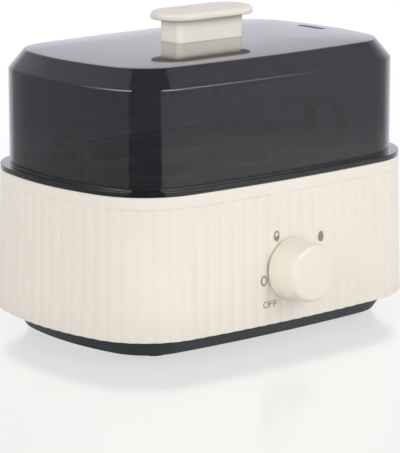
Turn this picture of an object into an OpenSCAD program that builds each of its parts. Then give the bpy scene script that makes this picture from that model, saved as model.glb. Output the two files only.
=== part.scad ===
// Electric egg cooker: fluted housing on a dark base, water pan with heater, egg tray,
// smoked lid with a grip, and a front dial on a timer shaft.
// Millimetres. Origin: middle of the footprint, on the surface that the feet stand on.
// +X to the right along the front, +Y to the back, +Z up.

/* [Plan shape] */
// Width of the body at the lid seat
body_w = 200; // [190:1:220]
// Depth of the body at the lid seat
body_d = 134; // [128:1:146]
// Radius of the four corners
corner_r = 37; // [33:1:42]
// Radius of the slight bow of the front and back
front_r = 800; // [600:10:1200]
// Radius of the bow of the two ends
end_r = 157; // [135:1:200]

/* [Housing] */
// Height of the fluted wall
rib_h = 64; // [56:1:76]
// Height of the plain band above the flutes
band_h = 6.3; // [5:0.1:9]
// How far the foot of the wall stands out past the band
flare = 1.7; // [0:0.1:3]
// Number of flutes round the wall
rib_count = 78; // [62:4:94]
// Depth of the flutes
rib_depth = 0.5; // [0.3:0.05:1]
// Wall thickness behind the flutes
wall = 2.2; // [1.6:0.1:3]
// Width of the seat that carries the lid
seat_w = 5; // [4.6:0.1:6]
// Depth of the shelf below the lid seat
shelf_drop = 9.2; // [8.4:0.1:11]
// Thickness of the shelf that carries the pan
shelf_t = 2.4; // [2:0.1:3.5]
// Inset of the opening in the shelf
shelf_inset = 21.4; // [21:0.2:23]

/* [Base] */
// Height of the feet below the base
foot_h = 2.5; // [1.5:0.1:4]
// Radius of a foot
foot_r = 6; // [4:0.25:7]
// Distance of a foot from the edge of the base floor
foot_set = 7.4; // [2:0.2:9]
// Visible height of the dark base
base_h = 9.4; // [7:0.1:13]
// Inset of the base where it meets the housing
base_inset = 5.6; // [4.6:0.1:9]
// Inset of the base at its floor
base_foot_inset = 12; // [8:0.1:12.8]
// Wall of the dark base
base_wall = 1.8; // [1.4:0.1:2.4]
// Thickness of the base floor and flange
base_t = 2.4; // [1.8:0.1:3]

/* [Lid] */
// Height of the rim flange
lid_rim_h = 2.6; // [2:0.1:4]
// Width of the ledge from the rim to the lid wall
lid_ledge = 4.7; // [4.2:0.1:5.2]
// Height from the seat to the foot of the chamfer
lid_wall_h = 50.2; // [46:0.2:64]
// Height of the chamfer
lid_chamfer_h = 9.3; // [6:0.1:12]
// Width of the chamfer
lid_chamfer_w = 7.9; // [6:0.1:10]
// Rise of the top from its edge to its middle
lid_crown = 2.1; // [1:0.1:4]
// Thickness of the lid
lid_t = 2; // [1.4:0.1:2.6]
// Depth of the locating lip below the seat
lip_h = 3; // [2:0.1:4]
// Length of the steam vent
vent_l = 18; // [12:0.5:24]
// Width of the steam vent
vent_w = 4; // [2:0.1:4]
// Distance of the vent from the middle of the lid
vent_x = 75; // [60:1:76]

/* [Lid grip] */
// Length of the stem
stem_l = 43; // [36:0.5:46]
// Width of the stem
stem_w = 16; // [13:0.5:18]
// Height of the stem
stem_h = 11.7; // [10:0.1:18]
// Corner radius of the stem
stem_r = 3; // [1.5:0.1:5]
// Wall of the hollow stem
stem_wall = 2.4; // [1.8:0.1:3]
// Length of the grip cap
cap_l = 59; // [54:0.5:66]
// Width of the grip cap
cap_w = 27; // [24:0.5:32]
// Thickness of the grip cap
cap_h = 4; // [3.4:0.1:6]
// Radius on the cap edge
cap_edge_r = 2.6; // [0.8:0.1:2.6]
// Radius of the lower edge of the cap
cap_foot_r = 0.6; // [0.3:0.1:0.7]
// Spacing of the two grip screws
grip_screw_x = 12; // [9:0.5:13]

/* [Dial] */
// Distance of the dial axis from the middle of the front
dial_x = -1; // [-12:0.5:12]
// Height of the dial axis above the foot of the housing
dial_h = 26.4; // [25:0.1:32]
// Radius of the knob at the housing
knob_r = 15.5; // [14.5:0.1:18]
// Radius of the knob at its face
knob_face_r = 14; // [12.5:0.1:14.4]
// Height of the knob from the housing
knob_h = 16.6; // [14:0.1:20]
// Radius on the edge of the knob face
knob_edge_r = 2; // [0.8:0.1:3]
// Wall of the hollow knob
knob_wall = 2.2; // [1.6:0.1:3]
// Radius of the timer shaft
shaft_r = 3; // [2.5:0.1:3.5]
// Travel of the dial from off to hard
dial_travel = 196; // [180:1:270]

/* [Pan and heater] */
// Thickness of the pan sheet
pan_t = 1.2; // [0.8:0.1:1.6]
// Depth of the water well
pan_depth = 11; // [9:0.5:13]
// Thickness of the seal under the pan flange
seal_t = 2; // [1.4:0.1:2.6]
// Radius of the heater tube
heater_r = 3.2; // [2.6:0.1:3.6]
// End radius of the heater loop
heater_bend = 26; // [24:0.5:30]
// Length of the straight sides of the heater loop
heater_l = 62; // [56:1:70]
// Gap between the two heater ends
heater_gap = 30; // [26:1:36]

/* [Egg tray] */
// Rows of eggs across the width
egg_columns = 3; // [2:1:3]
// Spacing of the egg seats along the width
egg_pitch_x = 50; // [46:0.5:52]
// Spacing of the egg seats along the depth
egg_pitch_y = 48; // [45:0.5:52]
// Radius of the hole in an egg seat
egg_r = 18; // [16:0.25:19]
// Height of the collar round an egg seat
collar_h = 3; // [2:0.25:5]
// Thickness of the tray plate
tray_t = 2; // [1.6:0.1:3]
// Gap between the tray and the lid wall
tray_gap = 5.3; // [1.6:0.1:7]
// Height of the tray handles above the plate
grip_h = 22; // [18:0.5:26]
// Outer width of a tray handle
grip_w = 29; // [26:0.5:34]
// Thickness of a tray handle
grip_t = 3; // [2.4:0.1:4]
// Width of the bars of a tray handle
grip_bar = 5; // [4:0.25:6]

/* [Cord gland] */
// Distance of the gland from the middle of the back
gland_x = 0; // [-40:1:40]
// Height of the gland above the foot of the housing
gland_h = 12; // [10:0.5:20]
// Radius of the cord hole
gland_bore_r = 3.6; // [2.5:0.1:4]
// Wall of the gland round the cord hole
gland_wall = 2.4; // [2:0.1:3]

/* [Fits] */
// Gap between parts that slip together
slip = 0.4; // [0.3:0.05:0.6]
// Gap round a fixed stud, screw or bush
close = 0.15; // [0.1:0.01:0.3]
// Radial gap of the running shaft
running = 0.06; // [0.03:0.01:0.1]
// Gap between the knob and the housing
knob_gap = 0.5; // [0.4:0.05:1]

/* [Hidden] */
$fn = 96;
eps = 0.01;

// Steps along each arc of a quarter of the plan
end_n = 4;
corner_n = 10;
front_n = 4;
// Points along one flute, and the height over which it runs out into the band
rib_n = 4;
rib_end = 0.4;

// Heights of the main joints
z_base = foot_h;
z_floor = z_base + base_t;
z_housing = foot_h + base_h;
z_boss = z_housing + base_t;
z_band = z_housing + rib_h;
z_seat = z_band + band_h;
z_shelf = z_seat - shelf_drop;
z_pan = z_shelf + seal_t;
z_flange = z_pan + pan_t;
z_well = z_flange - pan_depth;
z_under = z_well - pan_t;
z_chamfer = z_seat + lid_wall_h;
z_edge = z_chamfer + lid_chamfer_h;
z_crown = z_edge + lid_crown;
z_cap = z_crown + stem_h;
z_dial = z_housing + dial_h;

// Insets from the plan at the lid seat
bore_inset = rib_depth + wall;
base_in = base_foot_inset + base_wall;
lid_in = lid_ledge + lid_t;
lip_out = seat_w + slip;
lid_top_inset = lid_ledge + lid_chamfer_w;
pan_out = seat_w + 2 * slip;
well_inset = shelf_inset + 2 * slip;
seal_lap = 1;
tray_out = lid_in + tray_gap;

// Centres of the arcs of the plan
front_c = [0, body_d / 2 - front_r];
end_c = [body_w / 2 - end_r, 0];
arc_span = norm(end_c - front_c);
arc_far = front_r - corner_r;
arc_near = end_r - corner_r;
arc_along = (arc_far * arc_far - arc_near * arc_near + arc_span * arc_span) / (2 * arc_span);
arc_side = sqrt(arc_far * arc_far - arc_along * arc_along);
arc_dir = (end_c - front_c) / arc_span;
corner_c = front_c + arc_along * arc_dir + arc_side * [arc_dir.y, -arc_dir.x];
end_a = atan2(corner_c.y - end_c.y, corner_c.x - end_c.x);
front_a = atan2(corner_c.y - front_c.y, corner_c.x - front_c.x);

// Screws, studs and nuts
screw_r = 1.75;
screw_head_r = 3.2;
screw_head_h = 2;
boss_r = 3.4;
column_r = screw_head_r + slip + 1;
cover_screw_l = 14;
timer_screw_in = 4;
timer_screw_room = 1;
stud_r = 2;
nut_r = 3.6;
nut_h = 2.4;

// A point on a corner arc, at an inset and an angle from the +X axis
function corner_point(inset, a) = corner_c + (corner_r - inset) * [cos(a), sin(a)];
boss_at = corner_point(shelf_inset - boss_r - slip, 14);
foot_at = corner_point(base_foot_inset + foot_r + foot_set, 69);
stud_at = corner_point((seat_w + shelf_inset) / 2, 76);

// Y of the front or back wall at X, at a stand-off from the plan
function wall_y(x, out) = front_c.y + sqrt((front_r + out) * (front_r + out) - x * x);
// Stand-off of the flute crests at a height
function crest_out(z) = flare * (z_band - z) / rib_h;

// Timer, behind a flat pad on the inside of the front wall
pad_w = 2 * (knob_r + 3);
pad_y = -(wall_y(abs(dial_x) + pad_w / 2, -bore_inset) - 3);
plate_t = 1;
timer_y = pad_y + plate_t;
timer_w = 34;
timer_h = 30;
timer_d = 24;
timer_screw_x = 9.5;
timer_screw_y = -wall_y(abs(dial_x) + timer_screw_x, -rib_depth) + screw_head_h + slip;
shaft_hole_r = shaft_r + 2;
knob_y = -(wall_y(0, crest_out(z_dial)) + knob_gap);
hub_r = shaft_r + 2.6;
hub_depth = 12;
flat_cut = 0.8;
shaft_in = 8;
shaft_face = knob_y - knob_h + knob_wall + 1;
leaf_t = 0.5;
leaf_l = 8;

// Thermostat and fuse under the pan
stat_r = 8;
stat_h = 9;
bracket_t = 1;
bracket_l = 46;
bracket_w = 12;
bracket_stud_x = 17;
fuse_r = 2;
fuse_l = 14;
fuse_y = 17;
clip_t = 0.8;
clip_w = 8;

// Quarter of the plan from the +X axis to the +Y axis, at a stand-off
function quarter(out) = concat(
    [for (i = [0 : end_n - 1]) let (a = end_a * i / end_n)
        end_c + (end_r + out) * [cos(a), sin(a)]],
    [for (i = [0 : corner_n - 1]) let (a = end_a + (front_a - end_a) * i / corner_n)
        corner_c + (corner_r + out) * [cos(a), sin(a)]],
    [for (i = [0 : front_n]) let (a = front_a + (90 - front_a) * i / front_n)
        front_c + (front_r + out) * [cos(a), sin(a)]]);

// A closed outline from its first quarter
function all_round(q) = let (n = len(q) - 1) concat(
    [for (i = [0 : n - 1]) q[i]],
    [for (i = [n : -1 : 1]) [-q[i].x, q[i].y]],
    [for (i = [0 : n - 1]) -q[i]],
    [for (i = [n : -1 : 1]) [q[i].x, -q[i].y]]);

function plan(out) = all_round(quarter(out));

// Lengths of the three arcs of a quarter, then the point and the outward direction along them
rad = PI / 180;
end_len = end_r * end_a * rad;
corner_len = corner_r * (front_a - end_a) * rad;
front_len = front_r * (90 - front_a) * rad;
quarter_len = end_len + corner_len + front_len;
function along(s, out) =
    s <= end_len ? arc_point(end_c, end_r + out, s / end_len * end_a)
    : s <= end_len + corner_len
        ? arc_point(corner_c, corner_r + out, end_a + (s - end_len) / corner_len * (front_a - end_a))
    : arc_point(front_c, front_r + out, front_a + (s - end_len - corner_len) / front_len * (90 - front_a));
function arc_point(c, r, a) = c + r * [cos(a), sin(a)];

// The fluted outline: a wave from crest to groove, even all the way round
rib_steps = rib_count / 4 * rib_n;
function fluted(out, depth) = all_round([for (i = [0 : rib_steps])
    along(quarter_len * i / rib_steps, out - depth * (1 - cos(360 * i / rib_n)) / 2)]);

// Solid between two heights with the plan's outline
module slab(out, z0, z1) {
    translate([0, 0, z0]) linear_extrude(height = z1 - z0) polygon(plan(out));
}

// Hollow band with the plan's outline
module band(out, inner, z0, z1) {
    difference() {
        slab(out, z0, z1);
        slab(inner, z0 - 1, z1 + 1);
    }
}

// An outline at a height, and the plan's outline at a stand-off, a scale and a height
function level(outline, z) = [for (p = outline) [p.x, p.y, z]];
function ring(r) = [for (p = plan(r[0])) [r[1] * p.x, r[1] * p.y, r[2]]];

// Skin through rings with equal numbers of points, closed by a flat face at each end
module skin(rings) {
    n = len(rings[0]);
    top = (len(rings) - 1) * n;
    points = [for (r = rings) each r];
    sides = [for (k = [0 : len(rings) - 2]) for (i = [0 : n - 1])
        let (a = k * n + i, b = k * n + (i + 1) % n) each [[a, a + n, b], [b, a + n, b + n]]];
    first = [for (i = [0 : n - 1]) i];
    last = [for (i = [n - 1 : -1 : 0]) top + i];
    polyhedron(points, concat(sides, [first, last]), convexity = 8);
}

// Copies at the four corners
module at_corners(p) {
    for (sx = [-1, 1], sy = [-1, 1]) translate([sx * p.x, sy * p.y, 0]) children();
}

// A rod along Y, from y0 towards y1
module rod_y(r, x, y0, y1, z) {
    translate([x, y0, z]) rotate([-90, 0, 0]) cylinder(r = r, h = y1 - y0);
}

// Flat shape with rounded corners
module rounded(l, w, r) {
    square([l - 2 * r, w], center = true);
    square([l, w - 2 * r], center = true);
    for (sx = [-1, 1], sy = [-1, 1]) translate([sx * (l / 2 - r), sy * (w / 2 - r)]) circle(r);
}

// Flat slot with round ends
module slot(l, w) {
    square([l - w, w], center = true);
    for (sx = [-1, 1]) translate([sx * (l - w) / 2, 0]) circle(w / 2);
}

// Pan-head screw along +Z, with the underside of its head at zero
module screw(r, length) {
    cylinder(r = r, h = length);
    translate([0, 0, -screw_head_h]) cylinder(r = screw_head_r, h = screw_head_h);
}

module hex_nut(r, bore, h) {
    difference() {
        cylinder(r = r, h = h, $fn = 6);
        translate([0, 0, -1]) cylinder(r = bore, h = h + 2);
    }
}

// Housing: fluted wall, plain band, shelf for the pan, pillars for the base screws
module base_housing() {
    color("antiquewhite") difference() {
        union() {
            difference() {
                skin([level(fluted(flare, rib_depth), z_housing), level(fluted(0, rib_depth), z_band),
                      level(fluted(0, 0), z_band + rib_end), level(fluted(0, 0), z_seat)]);
                slab(-bore_inset, z_housing - 1, z_shelf - shelf_t);
                slab(-shelf_inset, z_shelf - shelf_t - 1, z_seat);
                slab(-seat_w, z_shelf, z_seat + 1);
            }
            at_corners(boss_at) translate([0, 0, z_boss])
                cylinder(r = boss_r, h = z_shelf - shelf_t / 2 - z_boss);
            timer_pad();
        }
        at_corners(boss_at) translate([0, 0, z_boss - 1]) cylinder(r = screw_r - close, h = cover_screw_l);
        at_corners(stud_at) translate([0, 0, z_shelf - shelf_t - 1])
            cylinder(r = stud_r + close, h = shelf_t + 2);
        rod_y(shaft_hole_r, dial_x, knob_y, pad_y + 1, z_dial);
        for (sx = [-1, 1]) rod_y(screw_r + close, dial_x + sx * timer_screw_x, knob_y, pad_y + 1, z_dial);
        for (sx = [-1, 1])
            rod_y(screw_head_r + close, dial_x + sx * timer_screw_x, knob_y, timer_screw_y, z_dial);
        translate([gland_x - gland_r - close, gland_y - 20, z_housing - 1])
            cube([2 * (gland_r + close), 25, gland_h + gland_r + close + 1]);
    }
}

// Flat pad on the inside of the front wall that the timer plate lies on
module timer_pad() {
    intersection() {
        translate([dial_x - pad_w / 2, -body_d, z_dial - timer_h / 2])
            cube([pad_w, body_d + pad_y, timer_h]);
        slab(-bore_inset / 2, z_housing, z_shelf);
    }
}

module bottom_cover() {
    color("dimgray") difference() {
        union() {
            difference() {
                union() {
                    slab(-bore_inset - slip, z_housing, z_boss);
                    skin([ring([-base_foot_inset, 1, z_base]), ring([-base_inset, 1, z_housing]),
                          ring([-base_inset, 1, z_housing + base_t / 2])]);
                }
                skin([ring([-base_in, 1, z_floor]), ring([-base_inset - base_wall, 1, z_housing]),
                      ring([-base_inset - base_wall, 1, z_boss + 1])]);
            }
            at_corners(boss_at) translate([0, 0, z_base]) cylinder(r = column_r, h = z_boss - z_base);
        }
        at_corners(boss_at) translate([0, 0, z_base - 1]) cylinder(r = screw_r + close, h = z_boss);
        at_corners(boss_at) translate([0, 0, z_base - 1])
            cylinder(r = screw_head_r + slip, h = z_housing - z_base + 1);
        at_corners(foot_at) translate([0, 0, z_base - 1]) cylinder(r = foot_peg_r + close, h = base_t + 2);
        vent_slots();
    }
}

// Row of cooling slots in the base floor
vent_slot_n = 5;
vent_slot_l = 30;
vent_slot_w = 3;
vent_slot_pitch = 8;
module vent_slots() {
    for (i = [0 : vent_slot_n - 1])
        translate([0, (i - (vent_slot_n - 1) / 2) * vent_slot_pitch, z_base - 1])
            linear_extrude(height = base_t + 2) slot(vent_slot_l, vent_slot_w);
}

// Rubber feet, each with a peg through the base floor
foot_peg_r = 2.2;
module feet() {
    color("black") at_corners(foot_at) {
        cylinder(r1 = foot_r - 0.6, r2 = foot_r, h = foot_h);
        cylinder(r = foot_peg_r, h = z_floor + 1);
    }
}

module cover_screws() {
    color("silver") at_corners(boss_at) translate([0, 0, z_housing])
        screw(screw_r - close, cover_screw_l);
}

// Water pan: flange on the seal, well for the water, studs through the shelf and under the floor
module water_pan() {
    color("lightgray") {
        difference() {
            union() {
                slab(-pan_out, z_pan, z_flange);
                slab(-well_inset, z_under, z_flange);
            }
            slab(-well_inset - pan_t, z_well, z_flange + 1);
        }
        at_corners(stud_at) translate([0, 0, z_shelf - shelf_t - nut_h - 1])
            cylinder(r = stud_r, h = z_pan - z_shelf + shelf_t + nut_h + 1 + eps);
        for (sx = [-1, 1]) translate([sx * bracket_stud_x, 0, z_bracket - bracket_t - nut_h - 1])
            cylinder(r = stud_r, h = z_under - z_bracket + bracket_t + nut_h + 1 + eps);
    }
}

module pan_seal() {
    color("gray") difference() {
        band(-pan_out - seal_lap, -shelf_inset + seal_lap, z_shelf, z_pan);
        at_corners(stud_at) translate([0, 0, z_shelf - 1]) cylinder(r = stud_r + close, h = seal_t + 2);
    }
}

module pan_nuts() {
    color("silver") at_corners(stud_at) translate([0, 0, z_shelf - shelf_t - nut_h])
        hex_nut(nut_r, stud_r + close, nut_h);
}

// Heater: a tube loop under the pan floor, open at the back, with its two ends turned down
z_heater = z_under - heater_r - close;
heater_drop = 12;
module heating_element() {
    color("darkslategray") translate([0, 0, z_heater]) {
        for (sx = [-1, 1]) translate([sx * heater_l / 2, 0, 0]) rotate([0, 0, sx > 0 ? -90 : 90])
            rotate_extrude(angle = 180) translate([heater_bend, 0]) circle(heater_r);
        translate([-heater_l / 2, -heater_bend, 0]) rotate([0, 90, 0]) cylinder(r = heater_r, h = heater_l);
        for (sx = [-1, 1]) translate([sx * heater_l / 2, heater_bend, 0])
            rotate([0, -sx * 90, 0]) cylinder(r = heater_r, h = (heater_l - heater_gap) / 2);
        for (sx = [-1, 1]) translate([sx * heater_gap / 2, heater_bend, -heater_drop])
            cylinder(r = heater_r, h = heater_drop);
        for (sx = [-1, 1]) translate([sx * heater_gap / 2, heater_bend, 0]) sphere(heater_r);
    }
}

// Spade terminals on the heater ends
spade_t = 0.8;
spade_w = 6.3;
spade_l = 10;
module heater_terminals() {
    color("silver") for (sx = [-1, 1])
        translate([sx * heater_gap / 2 - spade_t / 2, heater_bend - spade_w / 2,
                   z_heater - heater_drop - spade_l])
            cube([spade_t, spade_w, spade_l]);
}

// Snap-disc thermostat against the pan floor, held up by a bracket on two studs
z_bracket = z_under - stat_h;
module thermostat() {
    color("black") translate([0, 0, z_bracket]) {
        cylinder(r = stat_r, h = stat_h);
        for (sx = [-1, 1]) translate([sx * 5 - spade_t / 2, -spade_w / 2, -spade_l]) cube([spade_t, spade_w, spade_l]);
    }
}

module thermostat_bracket() {
    color("silver") difference() {
        translate([0, 0, z_bracket - bracket_t]) linear_extrude(height = bracket_t)
            rounded(bracket_l, bracket_w, 3);
        for (sx = [-1, 1]) translate([sx * bracket_stud_x, 0, z_bracket - bracket_t - 1])
            cylinder(r = stud_r + close, h = bracket_t + 2);
        for (sx = [-1, 1]) translate([sx * 5 - spade_t / 2 - slip, -spade_w / 2 - slip, z_bracket - bracket_t - 1])
            cube([spade_t + 2 * slip, spade_w + 2 * slip, bracket_t + 2]);
    }
}

module bracket_nuts() {
    color("silver") for (sx = [-1, 1]) translate([sx * bracket_stud_x, 0, z_bracket - bracket_t - nut_h])
        hex_nut(nut_r, stud_r + close, nut_h);
}

// Thermal fuse on the pan floor, under a saddle clip
z_fuse = z_under - fuse_r - close;
module thermal_fuse() {
    color("white") translate([-fuse_l / 2, -fuse_y, z_fuse]) rotate([0, 90, 0]) cylinder(r = fuse_r, h = fuse_l);
}

module fuse_clip() {
    color("silver") translate([-clip_w / 2, -fuse_y, 0]) difference() {
        translate([0, -fuse_r - slip - clip_t, z_fuse - fuse_r - close - clip_t])
            cube([clip_w, 2 * (fuse_r + slip + clip_t), z_under - z_fuse + fuse_r + close + clip_t]);
        translate([-1, -fuse_r - slip, z_fuse - fuse_r - close])
            cube([clip_w + 2, 2 * (fuse_r + slip), 3 * fuse_r]);
    }
}

// Timer: steel plate with a bush on the pad, and a case behind it
module timer_plate() {
    color("silver") difference() {
        union() {
            translate([dial_x - timer_w / 2, pad_y, z_dial - timer_h / 2 + 1])
                cube([timer_w, plate_t, timer_h - 2]);
            rod_y(shaft_hole_r - slip, dial_x, pad_y - 2, pad_y + plate_t, z_dial);
        }
        rod_y(shaft_r + running, dial_x, pad_y - 3, pad_y + plate_t + 1, z_dial);
        for (sx = [-1, 1])
            rod_y(screw_r - close, dial_x + sx * timer_screw_x, pad_y - 1, pad_y + plate_t + 1, z_dial);
    }
}

module timer_case() {
    color("ivory") difference() {
        translate([dial_x - timer_w / 2, timer_y, z_dial - timer_h / 2]) cube([timer_w, timer_d, timer_h]);
        rod_y(shaft_r + running, dial_x, timer_y - 1, timer_y + shaft_in, z_dial);
        for (sx = [-1, 1]) rod_y(screw_r + close, dial_x + sx * timer_screw_x, timer_y - 1,
            timer_y + timer_screw_in + timer_screw_room, z_dial);
    }
}

module timer_screws() {
    color("silver") for (sx = [-1, 1]) translate([dial_x + sx * timer_screw_x, timer_screw_y, z_dial])
        rotate([-90, 0, 0]) screw(screw_r - close, timer_y + timer_screw_in - timer_screw_y);
}

// Shaft with a flat for the knob, turning in the timer
module timer_shaft() {
    color("silver") difference() {
        rod_y(shaft_r, dial_x, shaft_face, timer_y + shaft_in - 1, z_dial);
        translate([dial_x - shaft_r - 1, shaft_face - 1, z_dial + shaft_r - flat_cut])
            cube([2 * shaft_r + 2, leaf_l + 2, shaft_r]);
    }
}

// Knob: hollow, tapered, with a rounded face and a hub on the shaft
module knob() {
    color("antiquewhite") translate([dial_x, knob_y, z_dial]) rotate([90, 0, 0]) difference() {
        union() {
            difference() {
                rotate_extrude() polygon(knob_outline());
                translate([0, 0, -1]) cylinder(r = knob_face_r - knob_wall, h = knob_h - knob_wall + 1);
            }
            translate([0, 0, knob_h - knob_wall - hub_depth]) cylinder(r = hub_r, h = hub_depth + 1);
        }
        translate([0, 0, knob_h - knob_wall - hub_depth - 1]) difference() {
            cylinder(r = shaft_r + close, h = hub_depth);
            translate([-knob_r, shaft_r - flat_cut + leaf_t, hub_depth - leaf_l])
                cube([2 * knob_r, knob_r, leaf_l + 1]);
        }
    }
}

// Half section of the knob, with the face edge as an arc
function knob_outline() = concat(
    [[0, 0], [knob_r, 0]],
    [for (i = [0 : 6]) let (a = 15 * i)
        [knob_face_r - knob_edge_r + knob_edge_r * cos(a), knob_h - knob_edge_r + knob_edge_r * sin(a)]],
    [[0, knob_h]]);

// Spring leaf that grips the flat of the shaft
module knob_leaf() {
    color("silver") translate([dial_x - shaft_r / 2, shaft_face + 1, z_dial + shaft_r - flat_cut])
        cube([shaft_r, leaf_l - 1, leaf_t]);
}

// Cord gland: a square neck in a notch of the back wall, with a flange outside and a collar inside
gland_r = gland_bore_r + gland_wall;
gland_flange_r = gland_r + 2.5;
gland_flange_t = 2;
z_gland = z_housing + gland_h;
gland_y = wall_y(max(abs(gland_x) - gland_flange_r, 0), crest_out(z_gland - gland_flange_r)) + eps;
gland_neck_y = wall_y(abs(gland_x) + gland_r, -bore_inset);
gland_collar_r = min(gland_r + 1.5, gland_h - base_t - slip);
gland_in = 8;
module cord_gland() {
    color("dimgray") difference() {
        union() {
            translate([gland_x - gland_r, gland_neck_y, z_housing])
                cube([2 * gland_r, gland_y - gland_neck_y + eps, gland_h + gland_r]);
            rod_y(gland_flange_r, gland_x, gland_y, gland_y + gland_flange_t, z_gland);
            rod_y(gland_r - 0.5, gland_x, gland_y - gland_in, gland_neck_y + 0.5, z_gland);
            rod_y(gland_collar_r, gland_x, gland_y - gland_in, gland_neck_y - slip, z_gland);
        }
        rod_y(gland_bore_r, gland_x, gland_y - gland_in - 1, gland_y + gland_flange_t + 1, z_gland);
    }
}

// Terminal block on the base floor
block_l = 26;
block_w = 16;
block_h = 14;
block_ways = 3;
block_at = [-40, 22];
module terminal_block() {
    color("ivory") translate([block_at.x, block_at.y, z_floor]) difference() {
        translate([-block_l / 2, -block_w / 2, 0]) cube([block_l, block_w, block_h]);
        for (i = [0 : block_ways - 1]) translate([(i - 1) * block_l / block_ways, 0, block_h / 2])
            rotate([90, 0, 0]) cylinder(r = 2.2, h = block_w + 2, center = true);
        for (i = [0 : block_ways - 1]) translate([(i - 1) * block_l / block_ways, 0, block_h / 2])
            cylinder(r = 1.8, h = block_h);
    }
}

// Lid: one smoked shell, from the inside of the crown round the lip and up to the outside
crown_scales = [0.3, 0.5, 0.75, 0.92, 1];
rim_round = 0.8;
function crown_rise(s) = lid_crown * (1 - pow((s - crown_scales[0]) / (1 - crown_scales[0]), 2));
top_in = lid_top_inset + lid_t * 0.4;
module lid_shell() {
    inside = [for (s = crown_scales) [-top_in, s, z_edge - lid_t + crown_rise(s)]];
    lip = [[-lid_in, 1, z_chamfer - lid_t * 0.4], [-lid_in, 1, z_seat - lip_h],
           [-lip_out, 1, z_seat - lip_h], [-lip_out, 1, z_seat]];
    rim = [[0, 1, z_seat], [0, 1, z_seat + lid_rim_h - rim_round],
           [-rim_round * 0.3, 1, z_seat + lid_rim_h - rim_round * 0.3],
           [-rim_round, 1, z_seat + lid_rim_h], [rim_round - lid_ledge, 1, z_seat + lid_rim_h],
           [rim_round * 0.3 - lid_ledge, 1, z_seat + lid_rim_h + rim_round * 0.3],
           [-lid_ledge, 1, z_seat + lid_rim_h + rim_round]];
    outside = concat([[-lid_ledge, 1, z_chamfer]],
        [for (i = [len(crown_scales) - 1 : -1 : 0]) let (s = crown_scales[i])
            [-lid_top_inset, s, z_edge + crown_rise(s)]]);
    color("dimgray", 0.7) difference() {
        skin([for (r = concat(inside, lip, rim, outside)) ring(r)]);
        translate([vent_x, 0, z_edge - lid_t - 2]) linear_extrude(height = lid_t + lid_crown + 4)
            rotate([0, 0, 90]) slot(vent_l, vent_w);
        for (sx = [-1, 1]) translate([sx * grip_screw_x, 0, z_edge - lid_t])
            cylinder(r = screw_r + close, h = lid_crown + lid_t + 2);
    }
}

// Stem of the lid grip: hollow from above, with two screw holes in its floor
stem_floor = 5;
z_stem = z_crown;
module handle_stem() {
    color("antiquewhite") difference() {
        translate([0, 0, z_stem]) linear_extrude(height = z_cap - z_stem) rounded(stem_l, stem_w, stem_r);
        translate([0, 0, z_stem + stem_floor]) linear_extrude(height = stem_h)
            rounded(stem_l - 2 * stem_wall, stem_w - 2 * stem_wall, stem_r / 2);
        for (sx = [-1, 1]) translate([sx * grip_screw_x, 0, z_stem - 1])
            cylinder(r = screw_r - close, h = stem_floor + 2);
    }
}

// Grip cap: a long rounded plate with a plug that snaps into the stem
plug_h = 4;
module handle_cap() {
    straight = cap_l - cap_w;
    color("antiquewhite") {
        translate([0, 0, z_cap]) {
            rotate([90, 0, 90]) linear_extrude(height = straight, center = true) cap_section();
            for (sx = [-1, 1]) translate([sx * straight / 2, 0, 0]) rotate([0, 0, sx > 0 ? -90 : 90])
                rotate_extrude(angle = 180) intersection() {
                    cap_section();
                    square([cap_w, cap_h]);
                }
        }
        translate([0, 0, z_cap - plug_h]) linear_extrude(height = plug_h + eps)
            rounded(stem_l - 2 * (stem_wall + close), stem_w - 2 * (stem_wall + close), stem_r / 2);
    }
}

// Cross section of the cap, with a wide round above and a small one below
module cap_section() {
    translate([cap_edge_r - cap_w / 2, 0]) square([cap_w - 2 * cap_edge_r, cap_h]);
    translate([cap_foot_r - cap_w / 2, 0]) square([cap_w - 2 * cap_foot_r, cap_h - cap_edge_r]);
    translate([-cap_w / 2, cap_foot_r]) square([cap_w, cap_h - cap_edge_r - cap_foot_r]);
    for (sx = [-1, 1]) {
        translate([sx * (cap_w / 2 - cap_edge_r), cap_h - cap_edge_r]) circle(cap_edge_r);
        translate([sx * (cap_w / 2 - cap_foot_r), cap_foot_r]) circle(cap_foot_r);
    }
}

// Silicone washers and screws that hold the grip from inside the lid
washer_t = 1.2;
washer_r = screw_head_r + 1.4;
z_washer = z_crown - lid_t - washer_t;
module handle_washers() {
    color("white") for (sx = [-1, 1]) translate([sx * grip_screw_x, 0, z_washer]) difference() {
        cylinder(r = washer_r, h = washer_t);
        translate([0, 0, -1]) cylinder(r = screw_r + close, h = washer_t + 2);
    }
}

module handle_screws() {
    color("silver") for (sx = [-1, 1]) translate([sx * grip_screw_x, 0, z_washer])
        screw(screw_r - close, z_stem + stem_floor + 1 - z_washer);
}

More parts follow.
